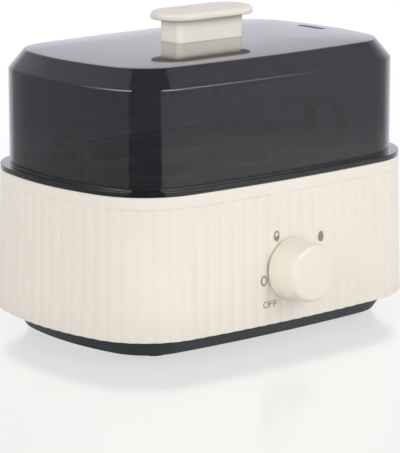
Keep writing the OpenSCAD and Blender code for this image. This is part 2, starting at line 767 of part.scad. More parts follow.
// Egg tray: plate with a skirt that stands on the pan flange, egg seats, steam holes, two handles
z_tray = z_seat + 1;
skirt_t = 1.6;
steam_r = 3;
grip_set = 1.2;
grip_x = body_w / 2 - tray_out - grip_t / 2 - grip_set;
collar_t = 2;
module egg_tray() {
    color("antiquewhite") {
        difference() {
            union() {
                slab(-tray_out, z_tray, z_tray + tray_t);
                band(-tray_out, -tray_out - skirt_t, z_flange, z_tray + tray_t / 2);
                at_eggs() translate([0, 0, z_tray - collar_h])
                    cylinder(r = egg_r + collar_t, h = tray_t + 2 * collar_h);
            }
            at_eggs() translate([0, 0, z_tray - collar_h - 1])
                cylinder(r = egg_r, h = tray_t + 2 * collar_h + 2);
            at_eggs() translate([0, 0, z_tray + tray_t + collar_h - collar_t / 2])
                cylinder(r1 = egg_r, r2 = egg_r + collar_t * 0.7, h = collar_t / 2 + eps);
            for (i = [0 : egg_columns - 2], sy = [-1, 0, 1])
                translate([(i - (egg_columns - 2) / 2) * egg_pitch_x, sy * egg_pitch_y * 0.85, z_tray - 1])
                    cylinder(r = steam_r, h = tray_t + 2);
        }
        for (sx = [-1, 1]) translate([sx * grip_x, 0, z_tray + tray_t - eps]) tray_grip();
    }
}

module at_eggs() {
    for (i = [0 : egg_columns - 1], sy = [-1, 1])
        translate([(i - (egg_columns - 1) / 2) * egg_pitch_x, sy * egg_pitch_y / 2, 0]) children();
}

// Upright arch that the tray is lifted by
module tray_grip() {
    rotate([90, 0, 90]) linear_extrude(height = grip_t, center = true) difference() {
        grip_arch(grip_w / 2, grip_h);
        grip_arch(grip_w / 2 - grip_bar, grip_h - grip_bar);
    }
}

module grip_arch(r, h) {
    translate([-r, 0]) square([2 * r, h - r]);
    translate([0, h - r]) intersection() {
        circle(r);
        translate([-r, -eps]) square([2 * r, r + 1]);
    }
}

base_housing();
bottom_cover();
feet();
cover_screws();
water_pan();
pan_seal();
pan_nuts();
heating_element();
heater_terminals();
thermostat();
thermostat_bracket();
bracket_nuts();
thermal_fuse();
fuse_clip();
timer_plate();
timer_case();
timer_screws();
timer_shaft();
knob();
knob_leaf();
cord_gland();
terminal_block();
lid_shell();
handle_stem();
handle_cap();
handle_washers();
handle_screws();
egg_tray();
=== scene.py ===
import math

import bmesh
import bpy
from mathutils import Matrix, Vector


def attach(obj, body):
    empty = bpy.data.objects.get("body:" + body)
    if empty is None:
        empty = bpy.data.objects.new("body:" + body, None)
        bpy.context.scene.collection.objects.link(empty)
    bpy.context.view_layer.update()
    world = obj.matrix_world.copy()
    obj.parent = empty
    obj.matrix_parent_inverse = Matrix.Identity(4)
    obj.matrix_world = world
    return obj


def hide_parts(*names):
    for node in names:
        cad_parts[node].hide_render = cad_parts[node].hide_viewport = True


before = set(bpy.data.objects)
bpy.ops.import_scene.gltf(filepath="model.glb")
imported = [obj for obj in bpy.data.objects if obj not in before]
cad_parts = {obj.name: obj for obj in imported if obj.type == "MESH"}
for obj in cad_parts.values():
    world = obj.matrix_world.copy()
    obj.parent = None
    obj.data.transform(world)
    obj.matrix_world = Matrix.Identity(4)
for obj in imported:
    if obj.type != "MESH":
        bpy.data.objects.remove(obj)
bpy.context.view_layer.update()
mm = 0.001
print("frame loaded")

# plan outline of the cooker: three arcs to a quarter, in millimetres
plan = {"width": 200, "depth": 134, "cornerR": 37, "frontR": 800, "endR": 157, "slack": 1e-9}


def planArcs():
    front = Vector((0, plan["depth"] / 2 - plan["frontR"]))
    end = Vector((plan["width"] / 2 - plan["endR"], 0))
    span = (end - front).length
    far = plan["frontR"] - plan["cornerR"]
    near = plan["endR"] - plan["cornerR"]
    along = (far * far - near * near + span * span) / (2 * span)
    side = math.sqrt(far * far - along * along)
    way = (end - front) / span
    corner = front + way * along + Vector((way.y, -way.x)) * side
    endTurn = math.atan2(corner.y - end.y, corner.x - end.x)
    frontTurn = math.atan2(corner.y - front.y, corner.x - front.x)
    return [(end, plan["endR"], 0, endTurn), (corner, plan["cornerR"], endTurn, frontTurn),
            (front, plan["frontR"], frontTurn, math.pi / 2)]


arcs = planArcs()
arcLengths = [r * (b - a) for _, r, a, b in arcs]
quarterLength = sum(arcLengths)


def quarterPoint(s, out):  # s runs along the outline, out is measured square to it
    for (centre, r, a, b), length in zip(arcs, arcLengths):
        if s <= length + plan["slack"]:
            turn = a + (b - a) * s / length
            return centre.x + (r + out) * math.cos(turn), centre.y + (r + out) * math.sin(turn)
        s -= length
    return centre.x, centre.y + r + out


def planPoint(u, out):  # u goes once round the outline from 0 to 1
    quarter = int(u * 4) % 4
    t = u * 4 - int(u * 4)
    x, y = quarterPoint((t if quarter % 2 == 0 else 1 - t) * quarterLength, out)
    return (-x if quarter in (1, 2) else x), (-y if quarter in (2, 3) else y)


def roundProfile(points, steps=5):  # each point is (inset, z, radius): corners become arcs
    out = []
    for i, (inset, z, r) in enumerate(points):
        here = Vector((inset, z))
        if r <= 0 or i in (0, len(points) - 1):
            out.append((inset, z))
            continue
        back = (Vector(points[i - 1][:2]) - here).normalized()
        ahead = (Vector(points[i + 1][:2]) - here).normalized()
        half = back.angle(ahead) / 2
        centre = here + (back + ahead).normalized() * (r / math.sin(half))
        first = here + back * (r / math.tan(half)) - centre
        last = here + ahead * (r / math.tan(half)) - centre
        turn = first.angle_signed(last)
        for k in range(steps + 1):
            w = turn * k / steps
            c, s = math.cos(-w), math.sin(-w)
            out.append((centre.x + first.x * c - first.y * s, centre.y + first.x * s + first.y * c))
    return out


def holdFlats(points, gap=0.25):  # extra points near the ends of long runs keep flat faces flat
    longRun = 6 * gap
    held = [points[0]]
    for a, b in zip(points, points[1:]):
        length = math.dist(a, b)
        if length > longRun:
            for t in (gap / length, 1 - gap / length):
                held.append((a[0] + (b[0] - a[0]) * t, a[1] + (b[1] - a[1]) * t))
        held.append(b)
    return held


def planRings(profile, count):  # profile of (inset, z)
    return [[planPoint(i / count, -inset) + (z,) for i in range(count)] for inset, z in profile]


def scaledRings(profile, count):  # profile of (inset, scale, z)
    return [[(x * k, y * k, z) for x, y in (planPoint(i / count, -inset) for i in range(count))]
            for inset, k, z in profile]


def roundedRing(length, width, r, count, z, turned=False, x=0.0):  # rounded rectangle
    straightX, straightY, arc = length - 2 * r, width - 2 * r, math.pi / 2 * r
    around = 2 * (straightX + straightY) + 4 * arc
    legs = [(straightY, "line", (length / 2, -straightY / 2), (0, 1)),
            (arc, "arc", (straightX / 2, straightY / 2), 0),
            (straightX, "line", (straightX / 2, width / 2), (-1, 0)),
            (arc, "arc", (-straightX / 2, straightY / 2), 90),
            (straightY, "line", (-length / 2, straightY / 2), (0, -1)),
            (arc, "arc", (-straightX / 2, -straightY / 2), 180),
            (straightX, "line", (-straightX / 2, -width / 2), (1, 0)),
            (arc, "arc", (straightX / 2, -straightY / 2), 270)]
    ring = []
    for i in range(count):
        s = around * i / count  # points are spaced by length along the edge
        for leg in legs:
            size, kind, start, way = leg
            if s <= size or leg is legs[-1]:
                break
            s -= size
        if kind == "line":
            px, py = start[0] + way[0] * s, start[1] + way[1] * s
        else:
            turn = math.radians(way) + s / r
            px, py = start[0] + r * math.cos(turn), start[1] + r * math.sin(turn)
        if turned:
            px, py = -py, px
        ring.append((px + x, py, z))
    return ring


def stadiumRing(length, width, count, z, turned=False, x=0.0):
    endR = width / 2 - 1e-4  # a hair less than half the width, so that each straight keeps a length
    return roundedRing(length, width, endR, count, z, turned, x)


def clearSelection():
    bpy.ops.object.select_all(action="DESELECT")


def pickPiece(piece):
    clearSelection()
    piece.select_set(True)
    bpy.context.view_layer.objects.active = piece


def loftPiece(name, count, ringPoints, ends="fill"):  # a circle, extruded ring by ring and placed
    clearSelection()
    bpy.ops.mesh.primitive_circle_add(vertices=count, radius=0.05, fill_type="NOTHING")
    piece = bpy.context.object
    piece.name = piece.data.name = name
    bpy.ops.object.mode_set(mode="EDIT")
    mesh = bmesh.from_edit_mesh(piece.data)
    mesh.verts.layers.int.new("step")
    for k, ring in enumerate(ringPoints):
        if k:
            bpy.ops.mesh.extrude_region_move(TRANSFORM_OT_translate={"value": (0, 0, mm)})
            mesh = bmesh.from_edit_mesh(piece.data)
        step = mesh.verts.layers.int["step"]
        if not k:
            for i, vert in enumerate(mesh.verts):
                vert[step] = i
        for vert in mesh.verts:
            if vert.select:
                vert.co = [c * mm for c in ring[vert[step]]]
        bmesh.update_edit_mesh(piece.data)
        if not k and ends == "fill":
            bpy.ops.mesh.duplicate()
            bpy.ops.mesh.edge_face_add()
            bpy.ops.mesh.select_all(action="DESELECT")
            mesh = bmesh.from_edit_mesh(piece.data)
            for edge in mesh.edges:
                edge.select_set(not edge.link_faces)
            bmesh.update_edit_mesh(piece.data)
    if ends == "fill":
        bpy.ops.mesh.edge_face_add()
    bpy.ops.mesh.select_all(action="SELECT")
    bpy.ops.mesh.remove_doubles(threshold=1e-7)
    bpy.ops.mesh.normals_make_consistent(inside=False)
    bpy.ops.object.mode_set(mode="OBJECT")
    bpy.ops.object.transform_apply(location=True, rotation=True, scale=True)
    return piece


def smoothPiece(piece, degrees):
    pickPiece(piece)
    bpy.ops.object.shade_smooth_by_angle(angle=math.radians(degrees))


def cutPiece(piece, cutter, kind="DIFFERENCE"):
    pickPiece(piece)
    cut = piece.modifiers.new("cut", "BOOLEAN")
    cut.operation = kind
    cut.solver = "EXACT"
    cut.object = cutter
    bpy.ops.object.modifier_apply(modifier=cut.name)
    bpy.data.objects.remove(cutter)


# node helpers: a number is set on its socket, an output is linked to it
def feed(tree, socket, value):
    if isinstance(value, (int, float)):
        socket.default_value = value
    else:
        tree.links.new(value, socket)


def combine(tree, kind, a, b):
    node = tree.nodes.new("ShaderNodeMath")
    node.operation = kind
    feed(tree, node.inputs[0], a)
    feed(tree, node.inputs[1], b)
    return node.outputs[0]


def mapRange(tree, value, fromSpan, toSpan):
    node = tree.nodes.new("ShaderNodeMapRange")
    names = ("From Min", "From Max", "To Min", "To Max")
    for name, number in zip(names, (*fromSpan, *toSpan)):
        node.inputs[name].default_value = number
    tree.links.new(value, node.inputs["Value"])
    return node.outputs["Result"]


def between(tree, share, a, b):
    node = tree.nodes.new("ShaderNodeMix")
    tree.links.new(share, node.inputs["Factor"])
    feed(tree, node.inputs["A"], a)
    feed(tree, node.inputs["B"], b)
    return node.outputs["Result"]


def mixColours(tree, share, a, b):
    node = tree.nodes.new("ShaderNodeMix")
    node.data_type = "RGBA"
    tree.links.new(share, node.inputs["Factor"])
    node.inputs[6].default_value = (*a, 1)
    node.inputs[7].default_value = (*b, 1)
    return node.outputs[2]


# materials
finish = {"noiseSpan": (0.3, 0.7), "broadScale": 18, "broadDetail": 4.0, "fineDetail": 2.0,
          "bumpDistance": 0.0002, "metalScale": 60, "metalDetail": 5, "metalBump": 0.08}


def newMaterial(name, roughness, metallic=0.0, ior=1.5):
    material = bpy.data.materials.new(name)
    material.use_nodes = True
    shader = material.node_tree.nodes["Principled BSDF"]
    shader.inputs["Roughness"].default_value = roughness
    shader.inputs["Metallic"].default_value = metallic
    shader.inputs["IOR"].default_value = ior
    return material, shader


def noiseOver(tree, scale, detail, stretch=None):
    place = tree.nodes.new("ShaderNodeTexCoord").outputs["Object"]
    if stretch:
        mapping = tree.nodes.new("ShaderNodeMapping")
        mapping.inputs["Scale"].default_value = stretch
        tree.links.new(place, mapping.inputs["Vector"])
        place = mapping.outputs["Vector"]
    noise = tree.nodes.new("ShaderNodeTexNoise")
    noise.inputs["Scale"].default_value = scale
    noise.inputs["Detail"].default_value = detail
    tree.links.new(place, noise.inputs["Vector"])
    return noise.outputs["Fac"]


def varyColour(tree, shader, noise, dark, light):
    ramp = tree.nodes.new("ShaderNodeValToRGB")
    for element, place, colour in zip(ramp.color_ramp.elements, finish["noiseSpan"], (dark, light)):
        element.position = place
        element.color = (*colour, 1)
    tree.links.new(noise, ramp.inputs["Fac"])
    tree.links.new(ramp.outputs["Color"], shader.inputs["Base Color"])


def varyRoughness(tree, shader, noise, rough):
    tree.links.new(mapRange(tree, noise, finish["noiseSpan"], rough), shader.inputs["Roughness"])


def bumpFrom(tree, shader, noise, strength):
    bump = tree.nodes.new("ShaderNodeBump")
    bump.inputs["Strength"].default_value = strength
    bump.inputs["Distance"].default_value = finish["bumpDistance"]
    tree.links.new(noise, bump.inputs["Height"])
    tree.links.new(bump.outputs["Normal"], shader.inputs["Normal"])


def mouldedPlastic(name, dark, light, rough, grain, bump):
    material, shader = newMaterial(name, rough[0])
    tree = material.node_tree
    broad = noiseOver(tree, finish["broadScale"], finish["broadDetail"])
    fine = noiseOver(tree, grain, finish["fineDetail"])
    varyColour(tree, shader, broad, dark, light)
    varyRoughness(tree, shader, fine, rough)
    bumpFrom(tree, shader, fine, bump)
    return material


def sheetMetal(name, dark, light, rough, stretch):
    material, shader = newMaterial(name, rough[0], metallic=1.0)
    tree = material.node_tree
    noise = noiseOver(tree, finish["metalScale"], finish["metalDetail"], stretch)
    varyColour(tree, shader, noise, dark, light)
    varyRoughness(tree, shader, noise, rough)
    bumpFrom(tree, shader, noise, finish["metalBump"])
    return material


smoke = {"tint": (0.006, 0.0086, 0.0142), "ior": 1.5, "rough": (0.02, 0.045), "coatRough": 0.03,
         "grain": 40, "slantBlend": 0.5, "slantSpan": (0.3, 0.8), "straight": 0.865,
         "grazing": 0.97, "shade": 0.95}


def smokedPlastic():  # each wall darkens once: the faces seen from behind are left clear
    material, shader = newMaterial("smokedPlastic", smoke["rough"][0], ior=smoke["ior"])
    tree = material.node_tree
    shader.inputs["Base Color"].default_value = (*smoke["tint"], 1)
    shader.inputs["Coat Weight"].default_value = 1.0
    shader.inputs["Coat IOR"].default_value = smoke["ior"]
    shader.inputs["Coat Roughness"].default_value = smoke["coatRough"]
    fine = noiseOver(tree, smoke["grain"], finish["fineDetail"])
    varyRoughness(tree, shader, fine, smoke["rough"])
    slant = tree.nodes.new("ShaderNodeLayerWeight")
    slant.inputs["Blend"].default_value = smoke["slantBlend"]
    depth = mapRange(tree, slant.outputs["Facing"], smoke["slantSpan"],
                     (smoke["straight"], smoke["grazing"]))
    side = tree.nodes.new("ShaderNodeNewGeometry")
    front = combine(tree, "SUBTRACT", 1.0, side.outputs["Backfacing"])
    depth = combine(tree, "MULTIPLY", front, depth)
    path = tree.nodes.new("ShaderNodeLightPath")  # light that falls through is dimmed a little less
    falls = combine(tree, "MAXIMUM", path.outputs["Is Shadow Ray"], path.outputs["Is Diffuse Ray"])
    shade = mapRange(tree, falls, (0.0, 1.0), (1.0, smoke["shade"]))
    tree.links.new(combine(tree, "MULTIPLY", depth, shade), shader.inputs["Alpha"])
    return material


# each plastic: darker and lighter colour, roughness range, grain and bump
creamMoulding = mouldedPlastic("creamMoulding", (0.83, 0.775, 0.69), (0.85, 0.795, 0.71),
                               (0.38, 0.46), 3200, 0.05)
creamGloss = mouldedPlastic("creamGloss", (0.83, 0.775, 0.69), (0.85, 0.795, 0.71),
                            (0.28, 0.34), 3600, 0.02)
trayCream = mouldedPlastic("trayCream", (0.80, 0.74, 0.64), (0.83, 0.77, 0.67),
                           (0.40, 0.50), 800, 0.05)
darkMoulding = mouldedPlastic("darkMoulding", (0.051, 0.062, 0.068), (0.060, 0.073, 0.080),
                              (0.45, 0.58), 2600, 0.12)
footRubber = mouldedPlastic("footRubber", (0.018, 0.018, 0.018), (0.026, 0.026, 0.026),
                            (0.70, 0.85), 1500, 0.25)
paleSilicone = mouldedPlastic("paleSilicone", (0.62, 0.62, 0.60), (0.68, 0.68, 0.66),
                              (0.50, 0.65), 900, 0.1)
paleMoulding = mouldedPlastic("paleMoulding", (0.72, 0.69, 0.60), (0.78, 0.75, 0.66),
                              (0.45, 0.60), 900, 0.1)
blackMoulding = mouldedPlastic("blackMoulding", (0.03, 0.03, 0.03), (0.04, 0.04, 0.04),
                               (0.40, 0.55), 1000, 0.1)
printInk = mouldedPlastic("printInk", (0.25, 0.228, 0.19), (0.29, 0.262, 0.22),
                          (0.45, 0.55), 900, 0.03)
# each metal: darker and lighter colour, roughness range and stretch of the grain
panSteel = sheetMetal("panSteel", (0.55, 0.55, 0.53), (0.66, 0.66, 0.64), (0.22, 0.34), (1, 12, 1))
platedSteel = sheetMetal("platedSteel", (0.52, 0.52, 0.50), (0.64, 0.64, 0.62),
                         (0.28, 0.40), (1, 1, 6))
heaterSteel = sheetMetal("heaterSteel", (0.16, 0.16, 0.15), (0.26, 0.25, 0.24),
                         (0.40, 0.55), (2, 2, 2))
smokedLid = smokedPlastic()
print("materials made")


def dress(piece, material, body, slotName, *nodes):
    piece.data.materials.clear()
    piece.data.materials.append(material)
    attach(piece, body)
    if nodes:
        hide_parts(*nodes)


# housing: fluted wall, plain band, lid seat and shelf
# lineRings: share of the line's depth, share of the flute depth, rise in half widths of the line
housing = {"bottom": 11.9, "fluteTop": 75.9, "seat": 82.2, "flare": 1.7, "flutes": 78,
           "fluteDepth": 0.55, "crestShape": 2.0, "lineDeep": 0.13, "lineHalf": 0.45,
           "lineRings": ((0, 0, 1.6), (0, 0, 1), (-1, 0.4, 0.15), (-1, 0.6, -0.15), (0, 1, -1),
                         (0, 1, -1.6)),
           "wall": 2.7, "wallSteps": 4, "seatWidth": 5, "seatChamfer": 0.3, "shelf": 73,
           "shelfUnder": 70.6, "shelfInset": 21.4, "edge": 0.6, "edgeSteps": 5, "footEdge": 0.5,
           "footBulge": (0.15, 0.12), "perFlute": 12, "notchWidth": 12.3, "notchTop": 30.05,
           "notchDeep": 20, "smooth": 40}


def flutePlace(phase):  # 0 on a crest, 1 in a groove
    return (2 * abs(phase - round(phase))) ** housing["crestShape"]


def flareOut(z):  # the wall leans outwards from the band to the foot
    return housing["flare"] * (housing["fluteTop"] - z) / (housing["fluteTop"] - housing["bottom"])


def housingRing(out, depth, z, count):
    ring = []
    for i in range(count):
        u = i / count
        x, y = planPoint(u, out - depth * flutePlace(u * housing["flutes"]))
        ring.append((x, y, z))
    return ring


def makeHousing():
    h = housing
    count = h["flutes"] * h["perFlute"]
    depth, edge, chamfer = h["fluteDepth"], h["edge"], h["seatChamfer"]
    rings = [(-h["shelfInset"], 0, h["shelfUnder"]), (-h["shelfInset"], 0, h["shelf"]),
             (-h["seatWidth"], 0, h["shelf"]), (-h["seatWidth"], 0, h["seat"] - chamfer),
             (-h["seatWidth"] + chamfer, 0, h["seat"])]
    for k in range(h["edgeSteps"] + 1):  # rounded outer edge of the seat
        turn = math.pi / 2 * k / h["edgeSteps"]
        rings.append((edge * (math.sin(turn) - 1), 0, h["seat"] + edge * (math.cos(turn) - 1)))
    for out, share, rise in h["lineRings"]:  # fine line between the band and the flutes
        rings.append((h["lineDeep"] * out, depth * share, h["fluteTop"] + h["lineHalf"] * rise))
    high = rings[-1][2]
    low = h["bottom"] + h["footEdge"]
    for k in range(1, h["wallSteps"] + 1):
        z = high + (low - high) * k / h["wallSteps"]
        rings.append((flareOut(z), depth, z))
    bulgeIn, bulgeUp = h["footBulge"]
    rings.append((h["flare"] - bulgeIn, depth, h["bottom"] + bulgeUp))
    rings.append((h["flare"] - h["footEdge"], depth, h["bottom"]))
    rings.append((-h["wall"], 0, h["bottom"]))
    rings.append((-h["wall"], 0, h["shelfUnder"]))
    rings.append(rings[0])
    ringPoints = [housingRing(*ring, count) for ring in rings]
    piece = loftPiece("housingShell", count, ringPoints, ends="join")
    clearSelection()
    notchPlace = (0, plan["depth"] / 2 * mm, h["notchTop"] * mm / 2)
    bpy.ops.mesh.primitive_cube_add(size=1, location=notchPlace)
    cutter = bpy.context.object  # notch for the cord gland
    cutter.scale = (h["notchWidth"] * mm, h["notchDeep"] * mm, h["notchTop"] * mm)
    bpy.ops.object.transform_apply(location=True, rotation=True, scale=True)
    cutPiece(piece, cutter)
    smoothPiece(piece, h["smooth"])
    dress(piece, creamMoulding, "base", "cream", "base_housing")


makeHousing()
print("housing made")

# lid: one smoked shell with a rim, a lip, a chamfer and a crowned top
lid = {"seat": 82.2, "rim": 84.8, "ledge": 4.7, "wall": 2, "slantShare": 0.4, "chamferFoot": 132.4,
       "topEdge": 141.7, "topInset": 12.6, "crown": 2.1, "flatShare": 0.3,
       "crownShares": (0.4, 0.5, 0.6, 0.7, 0.8, 0.88, 0.95), "crownRun": 3, "crownStart": 0.12,
       "lipOut": 5.4, "lipBottom": 79.2, "count": 320, "ventX": 75, "ventLength": 19,
       "ventWidth": 5.6, "ventCount": 64, "ventReach": (136, 148), "smooth": 28,
       "radii": {"topInside": 1.2, "wallInside": 2.0, "lipInside": 0.4, "lipOutside": 0.3,
                 "rimUnder": 0.35, "rimOver": 0.3, "ledge": 0.25, "chamferFoot": 2.2,
                 "topEdge": 1.3}}


def crownRise(share):
    t = max(0, (share - lid["flatShare"]) / (1 - lid["flatShare"]))
    return lid["crown"] * (1 - t * t)


def makeLid():
    d, r = lid, lid["radii"]
    shares = (d["flatShare"], *d["crownShares"])
    inner = d["ledge"] + d["wall"]
    slant = d["wall"] * d["slantShare"]
    innerTop, topUnder = d["topInset"] + slant, d["topEdge"] - d["wall"]
    rise = d["crownStart"] * d["crown"]
    walls = roundProfile([
        (innerTop + d["crownRun"], topUnder + rise, 0), (innerTop, topUnder, r["topInside"]),
        (inner, d["chamferFoot"] - slant, r["wallInside"]), (inner, d["lipBottom"], r["lipInside"]),
        (d["lipOut"], d["lipBottom"], r["lipOutside"]), (d["lipOut"], d["seat"], 0),
        (0, d["seat"], r["rimUnder"]), (0, d["rim"], r["rimOver"]),
        (d["ledge"], d["rim"], r["ledge"]), (d["ledge"], d["chamferFoot"], r["chamferFoot"]),
        (d["topInset"], d["topEdge"], r["topEdge"]),
        (d["topInset"] + d["crownRun"], d["topEdge"] + rise, 0)])[1:-1]
    inside = [(innerTop, s, topUnder + crownRise(s)) for s in shares]
    outside = [(d["topInset"], s, d["topEdge"] + crownRise(s)) for s in reversed(shares)]
    rings = inside + [(inset, 1, z) for inset, z in holdFlats(walls)] + outside
    piece = loftPiece("lidShell", d["count"], scaledRings(rings, d["count"]))
    ventRings = [stadiumRing(d["ventLength"], d["ventWidth"], d["ventCount"], z, turned=True,
                             x=d["ventX"]) for z in d["ventReach"]]
    cutPiece(piece, loftPiece("ventCutter", d["ventCount"], ventRings))
    smoothPiece(piece, d["smooth"])
    dress(piece, smokedLid, "lid", "smoke", "lid_shell")


makeLid()
print("lid made")

# grip on the lid
grip = {"stemLength": 43, "stemWidth": 16, "stemCorner": 3, "cornerLeast": 0.4, "stemInset": 3,
        "stemEdge": 0.12, "stemBottom": 143.8, "capBottom": 155.5, "capTop": 159.5,
        "capLength": 59, "capWidth": 27, "capUnder": 0.6, "capOver": 2.6, "capCrown": 0.25,
        "capFloor": 8, "capSlope": (5, 0.1), "capFlat": 9, "capSteps": 8, "count": 160,
        "smooth": 40}


def makeGrip():
    g = grip
    stemProfile = roundProfile([(g["stemInset"], g["stemBottom"], 0),
                                (0, g["stemBottom"], g["stemEdge"]), (0, g["capBottom"], 0)])
    stemRings = []
    for inset, z in stemProfile:
        corner = max(g["stemCorner"] - inset, g["cornerLeast"])
        stemRings.append(roundedRing(g["stemLength"] - 2 * inset, g["stemWidth"] - 2 * inset,
                                     corner, g["count"], z))
    stem = loftPiece("gripStem", g["count"], stemRings)
    smoothPiece(stem, g["smooth"])
    dress(stem, creamGloss, "lid", "cream", "handle_stem")
    slopeInset, slopeDrop = g["capSlope"]
    capProfile = roundProfile([
        (g["capFloor"], g["capBottom"], 0), (0, g["capBottom"], g["capUnder"]),
        (0, g["capTop"] - g["capCrown"], g["capOver"]), (slopeInset, g["capTop"] - slopeDrop, 0),
        (g["capFlat"], g["capTop"], 0)], steps=g["capSteps"])
    capRings = [stadiumRing(g["capLength"] - 2 * inset, g["capWidth"] - 2 * inset, g["count"], z)
                for inset, z in capProfile]
    cap = loftPiece("gripCap", g["count"], capRings)
    smoothPiece(cap, g["smooth"])
    dress(cap, creamGloss, "lid", "cream", "handle_cap")


makeGrip()
print("grip made")

# dial knob on the front
dial = {"x": -1.0, "z": 38.3, "back": -68.5, "height": 16.6, "rearR": 15.5, "rearEdge": 0.2,
        "faceR": 14.12, "edge": 2.2, "cavityR": 11.8, "cavityDepth": 14.4, "cavityEdge": 0.8,
        "mouthEdge": 0.3, "poleR": 0.5, "steps": 8, "count": 144, "smooth": 40}


def makeKnob():
    d = dial
    profile = roundProfile([
        (d["poleR"], d["cavityDepth"], 0), (d["cavityR"], d["cavityDepth"], d["cavityEdge"]),
        (d["cavityR"], 0, d["mouthEdge"]), (d["rearR"], 0, d["rearEdge"]),
        (d["faceR"], d["height"], d["edge"]), (d["poleR"], d["height"], 0)], steps=d["steps"])
    turns = [2 * math.pi * i / d["count"] for i in range(d["count"])]
    rings = []
    for r, h in profile:
        rings.append([(d["x"] + r * math.cos(a), d["back"] - h, d["z"] + r * math.sin(a))
                      for a in turns])
    piece = loftPiece("knobShell", d["count"], rings)
    smoothPiece(piece, d["smooth"])
    dress(piece, creamGloss, "dial", "cream", "knob")


makeKnob()
print("knob made")

# printed marks on the flutes round the dial, placed from its centre
marks = {"lift": 0.05, "thick": 0.05, "cutStep": 0.6, "line": 0.85, "eggWidth": 4.0,
         "eggHeight": 5.3, "eggTaper": 0.1, "eggPoints": 48, "soft": (-18.8, -4.0),
         "medium": (-10.2, 17.1), "hard": (19.2, 12.8), "off": (-15.3, -16.1), "offWidth": 8.5,
         "offHeight": 3.2, "middlePhase": 0.5}


def frontY(x, z):  # outer face of the fluted front wall
    out = flareOut(z)
    turn = math.asin(x / (plan["frontR"] + out))
    flutePitch = 4 * quarterLength / housing["flutes"]
    phase = marks["middlePhase"] + plan["frontR"] * turn / flutePitch
    r = plan["frontR"] + out - housing["fluteDepth"] * flutePlace(phase)
    return -(r * math.cos(turn) - plan["frontR"] + plan["depth"] / 2)


def eggOutline(width, height):
    points = []
    for i in range(marks["eggPoints"]):
        a = 2 * math.pi * i / marks["eggPoints"]
        z = math.sin(a)
        points.append((width / 2 * math.cos(a) * (1 - marks["eggTaper"] * z), height / 2 * z))
    return points


def layMark(piece, x, z):  # cut into strips, then laid on the flutes and given a thickness
    pickPiece(piece)
    bpy.ops.object.mode_set(mode="EDIT")
    low = min(v.co.x for v in piece.data.vertices)
    high = max(v.co.x for v in piece.data.vertices)
    cuts = int((high - low) / (marks["cutStep"] * mm)) + 1
    for k in range(1, cuts):
        bpy.ops.mesh.select_all(action="SELECT")
        at = low + (high - low) * k / cuts
        bpy.ops.mesh.bisect(plane_co=(at, 0, 0), plane_no=(1, 0, 0))
    bpy.ops.object.mode_set(mode="OBJECT")
    for v in piece.data.vertices:
        px, pz = x + v.co.x / mm, z + v.co.z / mm
        v.co = (px * mm, (frontY(px, pz) - marks["lift"]) * mm, pz * mm)
    solid = piece.modifiers.new("thick", "SOLIDIFY")
    solid.thickness = marks["thick"] * mm
    solid.offset = 1
    bpy.ops.object.modifier_apply(modifier=solid.name)
    bpy.ops.object.mode_set(mode="EDIT")
    bpy.ops.mesh.select_all(action="SELECT")
    bpy.ops.mesh.normals_make_consistent(inside=False)
    bpy.ops.object.mode_set(mode="OBJECT")
    dress(piece, printInk, "base", "cream")


def eggMark(name, place, fill):  # fill: share of the height that is solid
    outer = eggOutline(marks["eggWidth"], marks["eggHeight"])
    inner = eggOutline(marks["eggWidth"] - 2 * marks["line"], marks["eggHeight"] - 2 * marks["line"])
    clearSelection()
    bpy.ops.mesh.primitive_circle_add(vertices=len(outer), radius=2 * mm, fill_type="NOTHING")
    piece = bpy.context.object
    piece.name = piece.data.name = name
    for v, (x, z) in zip(piece.data.vertices, outer):
        v.co = (x * mm, 0, z * mm)
    bpy.ops.object.mode_set(mode="EDIT")
    if fill < 1:
        mesh = bmesh.from_edit_mesh(piece.data)
        step = mesh.verts.layers.int.new("step")
        for i, v in enumerate(mesh.verts):
            v[step] = i
        bpy.ops.mesh.extrude_region_move(TRANSFORM_OT_translate={"value": (0, mm, 0)})
        mesh = bmesh.from_edit_mesh(piece.data)
        step = mesh.verts.layers.int["step"]
        level = marks["eggHeight"] * (fill - 0.5)
        for v in mesh.verts:
            if v.select:
                x, z = inner[v[step]]
                v.co = (x * mm, 0, z * mm)
        if fill > 0:
            for v in mesh.verts:
                v.select_set(v.select and v.co.z <= level * mm)
            mesh.select_flush_mode()
            bmesh.update_edit_mesh(piece.data)
            bpy.ops.mesh.edge_face_add()
    else:
        bpy.ops.mesh.edge_face_add()
    bpy.ops.object.mode_set(mode="OBJECT")
    layMark(piece, place[0], dial["z"] + place[1])


def offMark():
    clearSelection()
    bpy.ops.object.text_add(rotation=(math.pi / 2, 0, 0))
    words = bpy.context.object
    words.data.body = "OFF"
    words.data.align_x = "CENTER"
    bpy.ops.object.convert(target="MESH")
    piece = bpy.context.object
    piece.name = piece.data.name = "offMark"
    bpy.ops.object.transform_apply(location=True, rotation=True, scale=True)
    xs = [v.co.x for v in piece.data.vertices]
    zs = [v.co.z for v in piece.data.vertices]
    for v in piece.data.vertices:
        x = (v.co.x - (min(xs) + max(xs)) / 2) / (max(xs) - min(xs)) * marks["offWidth"]
        z = (v.co.z - (min(zs) + max(zs)) / 2) / (max(zs) - min(zs)) * marks["offHeight"]
        v.co = (x * mm, 0, z * mm)
    layMark(piece, marks["off"][0], dial["z"] + marks["off"][1])


eggMark("softMark", marks["soft"], 0)
eggMark("mediumMark", marks["medium"], 0.5)
eggMark("hardMark", marks["hard"], 1)
offMark()
print("marks made")

